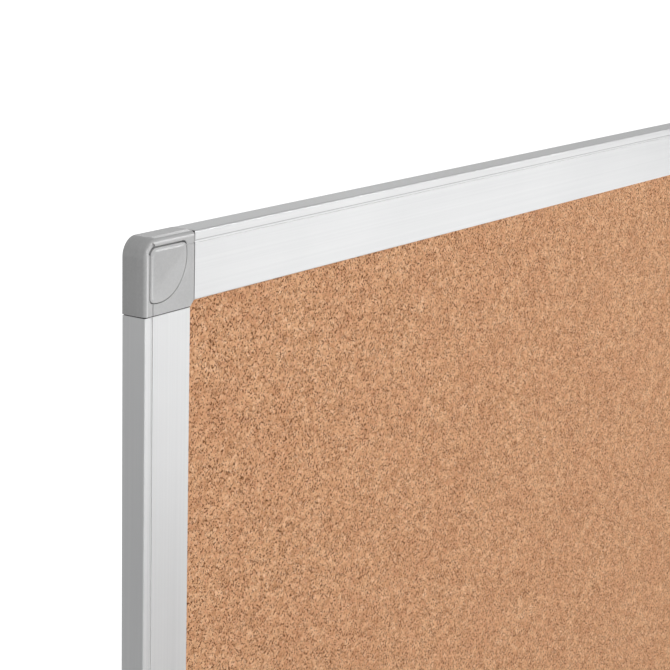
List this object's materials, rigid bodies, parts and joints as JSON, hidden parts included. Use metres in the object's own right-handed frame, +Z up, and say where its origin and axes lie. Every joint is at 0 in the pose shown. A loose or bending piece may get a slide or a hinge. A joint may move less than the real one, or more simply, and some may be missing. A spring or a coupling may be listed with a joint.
{
  "type": "cork bulletin board",
  "caption": "Wall-hung cork bulletin board: cork-faced softboard panel in a flat aluminium frame, with plastic corner caps and snap-in covers over the wall screws.",
  "frame": {"origin": "middle of the four wall-screw holes, on the back plane that lies against the wall", "axes": "+X to the right along the long side, +Y into the wall, +Z up; the cork faces -Y"},
  "size_m": [0.9, 0.012, 0.6],
  "materials": {
    "cork": "matt, granular agglomerated cork",
    "softboard": "matt fibreboard",
    "backing": "matt grey board",
    "anodised_aluminium": "satin natural anodised",
    "cap_plastic": "fine satin moulded",
    "cover_plastic": "fine satin moulded",
    "screw_steel": "zinc plated"
  },
  "bodies": {
    "frame": {"cork_sheet": "cork", "softboard_core": "softboard", "backing_sheet": "backing", "rail_top": "anodised_aluminium", "rail_right": "anodised_aluminium", "rail_bottom": "anodised_aluminium", "rail_left": "anodised_aluminium", "corner_cap_top_left": "cap_plastic", "corner_cap_top_right": "cap_plastic", "corner_cap_bottom_right": "cap_plastic", "corner_cap_bottom_left": "cap_plastic", "frame_screws_top_left": "screw_steel", "frame_screws_top_right": "screw_steel", "frame_screws_bottom_right": "screw_steel", "frame_screws_bottom_left": "screw_steel"},
    "cover_top_left": {"screw_cover_top_left": "cover_plastic"},
    "cover_top_right": {"screw_cover_top_right": "cover_plastic"},
    "cover_bottom_right": {"screw_cover_bottom_right": "cover_plastic"},
    "cover_bottom_left": {"screw_cover_bottom_left": "cover_plastic"}
  },
  "joints": [
    {"name": "cover_top_left_pull_off", "type": "slide", "parent": "frame", "child": "cover_top_left", "axis": [0, -1, 0], "range_m": [0, 0.02]},
    {"name": "cover_top_right_pull_off", "type": "slide", "parent": "frame", "child": "cover_top_right", "axis": [0, -1, 0], "range_m": [0, 0.02]},
    {"name": "cover_bottom_right_pull_off", "type": "slide", "parent": "frame", "child": "cover_bottom_right", "axis": [0, -1, 0], "range_m": [0, 0.02]},
    {"name": "cover_bottom_left_pull_off", "type": "slide", "parent": "frame", "child": "cover_bottom_left", "axis": [0, -1, 0], "range_m": [0, 0.02]}
  ]
}
